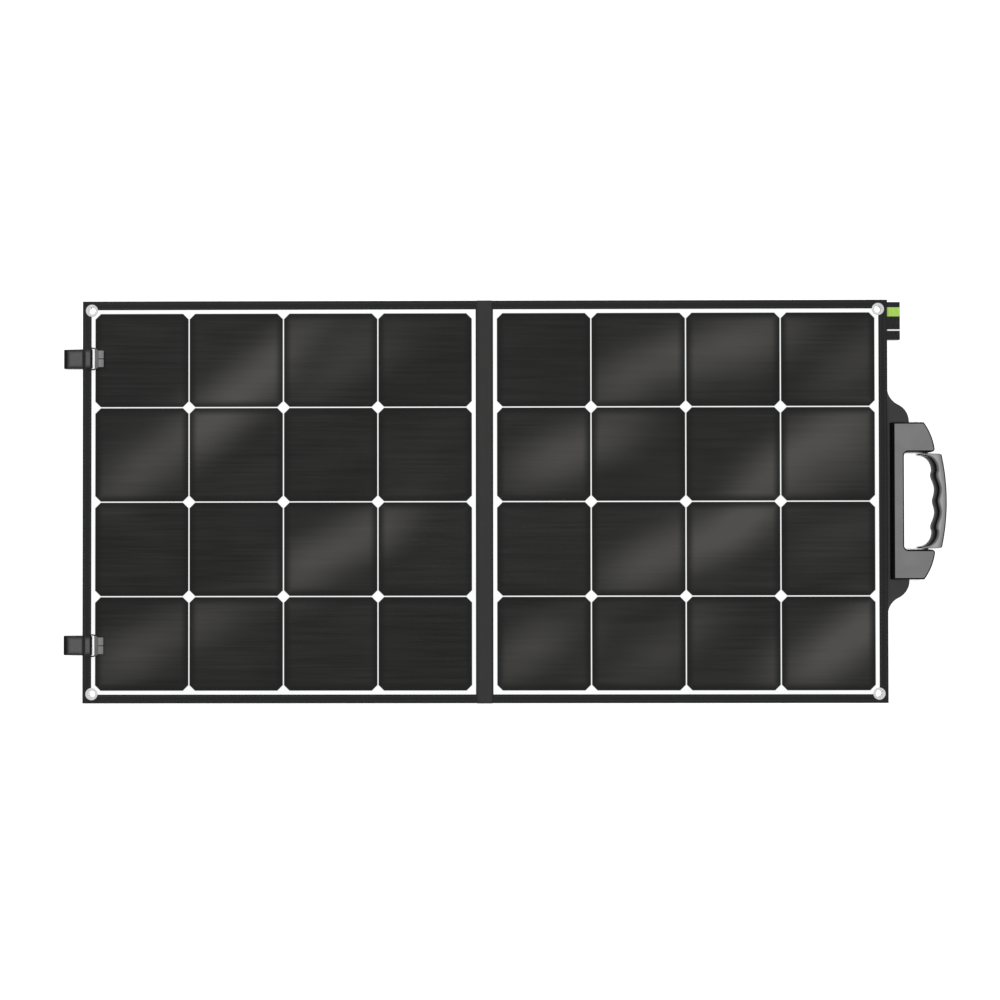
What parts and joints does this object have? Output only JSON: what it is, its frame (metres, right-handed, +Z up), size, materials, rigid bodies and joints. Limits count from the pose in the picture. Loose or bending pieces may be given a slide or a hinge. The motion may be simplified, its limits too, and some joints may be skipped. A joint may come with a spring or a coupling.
{
  "type": "folding solar panel",
  "caption": "Two-fold fabric-cased camping solar panel with square cells, fabric spine, kickstands, closing straps, corner eyelets and a swinging carry grip.",
  "frame": {"origin": "on the resting surface, under the middle of the whole", "axes": "+X from the strap end to the handle end, +Y to the upper edge, +Z up out of the cells"},
  "size_m": [1.1876, 0.542, 0.0327],
  "materials": {
    "case_fabric": "coated woven polyester, charcoal",
    "spine_fabric": "coated woven polyester, lighter charcoal",
    "webbing": "woven flat webbing, grey",
    "label_fabric": "black woven label with one green band",
    "zip_fabric": "black woven tape",
    "stiffener_board": "hollow-core plastic board",
    "white_laminate": "white sheet under clear film",
    "solar_cell": "back-contact silicon cell under matte clear film, near black",
    "eyelet_metal": "nickel-plated brass",
    "handle_plastic": "fine-grained moulded plastic, mid grey",
    "buckle_plastic": "moulded plastic, grey",
    "black_plastic": "moulded plastic, black",
    "zip_plastic": "nylon coil, black",
    "soft_rubber": "soft overmoulded rubber, black",
    "zip_metal": "gunmetal-plated zinc",
    "pin_steel": "turned steel",
    "copper_lead": "insulated flat copper lead, black"
  },
  "bodies": {
    "right_half": {"right_back_cover": "case_fabric", "right_stiffener": "stiffener_board", "right_cells": "solar_cell", "right_laminate": "white_laminate", "right_border": "case_fabric", "right_upper_eyelet": "eyelet_metal", "right_lower_eyelet": "eyelet_metal", "right_eyelet_washers": "eyelet_metal", "junction_box_tray": "black_plastic", "junction_box_lid": "black_plastic", "outlet_grommet": "soft_rubber", "junction_box_diodes": "black_plastic", "pocket_rim": "case_fabric", "pocket_panel": "case_fabric", "zip_tape": "zip_fabric", "zip_coil": "zip_plastic", "right_hinge_bases": "black_plastic", "right_hinge_pins": "pin_steel", "handle_tongue": "case_fabric", "upper_grip_pin": "pin_steel", "lower_grip_pin": "pin_steel", "bracket_upper_shell": "handle_plastic", "bracket_lower_shell": "handle_plastic", "bracket_screws": "pin_steel", "side_label": "label_fabric", "upper_socket": "buckle_plastic", "lower_socket": "buckle_plastic"},
    "spine": {"spine_back": "case_fabric", "spine_front": "spine_fabric", "spine_leads": "copper_lead"},
    "left_half": {"left_back_cover": "case_fabric", "left_stiffener": "stiffener_board", "left_cells": "solar_cell", "left_laminate": "white_laminate", "left_border": "case_fabric", "left_upper_eyelet": "eyelet_metal", "left_lower_eyelet": "eyelet_metal", "left_eyelet_washers": "eyelet_metal", "upper_strap_anchor": "webbing", "lower_strap_anchor": "webbing", "left_hinge_bases": "black_plastic", "left_hinge_pins": "pin_steel"},
    "right_stand": {"right_stand": "case_fabric", "right_stand_leaves": "black_plastic"},
    "left_stand": {"left_stand": "case_fabric", "left_stand_leaves": "black_plastic"},
    "grip": {"grip": "handle_plastic", "grip_pad": "soft_rubber"},
    "zip_slider": {"zip_slider": "zip_metal"},
    "zip_puller": {"zip_puller": "zip_metal"},
    "upper_strap_root": {"upper_strap_root": "webbing"},
    "upper_strap_end": {"upper_strap_end": "webbing"},
    "upper_tongue": {"upper_tongue": "buckle_plastic"},
    "upper_button": {"upper_button": "buckle_plastic"},
    "lower_strap_root": {"lower_strap_root": "webbing"},
    "lower_strap_end": {"lower_strap_end": "webbing"},
    "lower_tongue": {"lower_tongue": "buckle_plastic"},
    "lower_button": {"lower_button": "buckle_plastic"}
  },
  "joints": [
    {"name": "spine_fold", "type": "hinge", "parent": "right_half", "child": "spine", "pos_m": [-0.01675, 0, 0.0064], "axis": [0, 1, 0], "range_deg": [0, 90]},
    {"name": "left_fold", "type": "hinge", "parent": "spine", "child": "left_half", "pos_m": [-0.03725, 0, 0.0064], "axis": [0, 1, 0], "range_deg": [0, 90]},
    {"name": "right_stand_hinge", "type": "hinge", "parent": "right_half", "child": "right_stand", "pos_m": [0.24375, 0.095, 0.0021], "axis": [1, 0, 0], "range_deg": [0, 60]},
    {"name": "left_stand_hinge", "type": "hinge", "parent": "left_half", "child": "left_stand", "pos_m": [-0.29775, 0.095, 0.0021], "axis": [1, 0, 0], "range_deg": [0, 60]},
    {"name": "grip_swing", "type": "hinge", "parent": "right_half", "child": "grip", "pos_m": [0.5657, 0, 0.01665], "axis": [0, -1, 0], "range_deg": [-60, 198]},
    {"name": "zip_slide", "type": "slide", "parent": "right_half", "child": "zip_slider", "axis": [-1, 0, 0], "range_m": [0, 0.23]},
    {"name": "zip_puller_swing", "type": "hinge", "parent": "zip_slider", "child": "zip_puller", "pos_m": [0.36455, 0.233, 0.0007], "axis": [0, -1, 0], "range_deg": [0, 120]},
    {"name": "upper_strap_swing", "type": "hinge", "parent": "left_half", "child": "upper_strap_root", "pos_m": [-0.5702, 0.193, 0.0084], "axis": [0, 1, 0], "range_deg": [0, 90]},
    {"name": "upper_strap_turn", "type": "hinge", "parent": "upper_strap_root", "child": "upper_strap_end", "pos_m": [-0.5945, 0.193, 0.0093], "axis": [0, -1, 0], "range_deg": [0, 90]},
    {"name": "upper_tongue_tilt", "type": "hinge", "parent": "upper_strap_end", "child": "upper_tongue", "pos_m": [-0.558, 0.193, 0.0159], "axis": [0, -1, 0], "range_deg": [0, 90]},
    {"name": "upper_button_press", "type": "slide", "parent": "right_half", "child": "upper_button", "axis": [0, 0, 1], "range_m": [0, 0.0009], "stiffness_N_per_m": 150},
    {"name": "lower_strap_swing", "type": "hinge", "parent": "left_half", "child": "lower_strap_root", "pos_m": [-0.5702, -0.193, 0.0084], "axis": [0, 1, 0], "range_deg": [0, 90]},
    {"name": "lower_strap_turn", "type": "hinge", "parent": "lower_strap_root", "child": "lower_strap_end", "pos_m": [-0.5945, -0.193, 0.0093], "axis": [0, -1, 0], "range_deg": [0, 90]},
    {"name": "lower_tongue_tilt", "type": "hinge", "parent": "lower_strap_end", "child": "lower_tongue", "pos_m": [-0.558, -0.193, 0.0159], "axis": [0, -1, 0], "range_deg": [0, 90]},
    {"name": "lower_button_press", "type": "slide", "parent": "right_half", "child": "lower_button", "axis": [0, 0, 1], "range_m": [0, 0.0009], "stiffness_N_per_m": 150}
  ],
  "couplings": [
    {"joint": "spine_fold", "follows": "left_fold", "ratio": 1},
    {"joint": "upper_strap_turn", "follows": "upper_strap_swing", "ratio": 1},
    {"joint": "lower_strap_turn", "follows": "lower_strap_swing", "ratio": 1}
  ]
}
